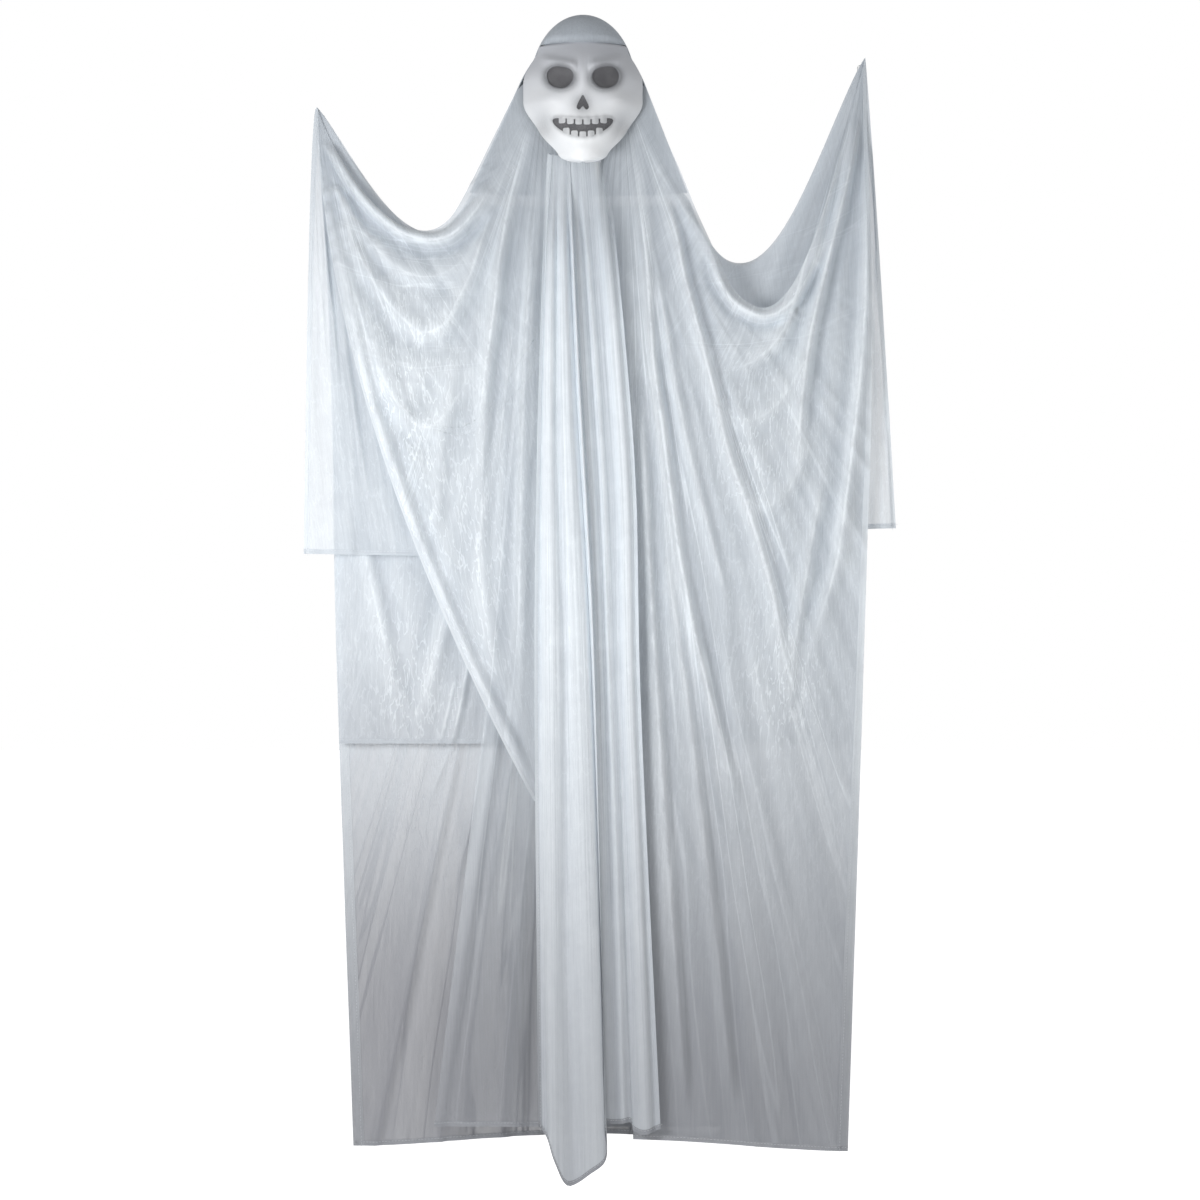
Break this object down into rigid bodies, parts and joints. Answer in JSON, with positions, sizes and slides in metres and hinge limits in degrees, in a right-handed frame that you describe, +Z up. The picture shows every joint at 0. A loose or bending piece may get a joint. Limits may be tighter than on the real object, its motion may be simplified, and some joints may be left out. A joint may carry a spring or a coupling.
{
  "type": "hanging ghost decoration",
  "caption": "Hanging ghost with a skull-like mask on a foam head, a hood and long gauze robes drawn up to raised hands, with rings to hang it by.",
  "frame": {"origin": "top inside of the ring on the back of the head, where the decoration hangs", "axes": "+Z up, -Y towards the viewer, +X to the viewer's right"},
  "size_m": [1.065, 0.2001, 2.0923],
  "materials": {
    "gauze": "sheer matte gauze",
    "mask": "satin moulded sheet",
    "screen": "fine grey netting",
    "foam": "soft foam",
    "steel": "plain bright steel"
  },
  "bodies": {
    "ghost": {"head_form": "foam", "neck_band": "gauze", "hood": "gauze", "mask_shell": "mask", "eye_screen_left": "screen", "eye_screen_right": "screen", "nose_screen": "screen", "mouth_screen": "screen", "forehead_pad": "foam", "cheek_pad_left": "foam", "cheek_pad_right": "foam", "back_robe": "gauze", "inner_robe": "gauze", "front_robe": "gauze", "left_sleeve": "gauze", "right_sleeve": "gauze", "left_cape": "gauze", "right_cape": "gauze", "tail_panel": "gauze", "side_panel": "gauze", "hanger_plate": "steel", "hanger_screw_1": "steel", "hanger_screw_2": "steel", "left_hand_tab": "gauze", "right_hand_tab": "gauze"},
    "head_ring": {"hanger_ring": "steel"},
    "left_ring": {"left_hand_ring": "steel"},
    "right_ring": {"right_hand_ring": "steel"}
  },
  "joints": [
    {"name": "head_ring_fold", "type": "hinge", "parent": "ghost", "child": "head_ring", "pos_m": [0, 0, -0.0343], "axis": [1, 0, 0], "range_deg": [-165, 0]},
    {"name": "left_ring_fold", "type": "hinge", "parent": "ghost", "child": "left_ring", "pos_m": [-0.471, -0.0862, -0.1653], "axis": [1, 0, 0], "range_deg": [-165, 0]},
    {"name": "right_ring_fold", "type": "hinge", "parent": "ghost", "child": "right_ring", "pos_m": [0.5, -0.0862, -0.0763], "axis": [1, 0, 0], "range_deg": [-165, 0]}
  ]
}
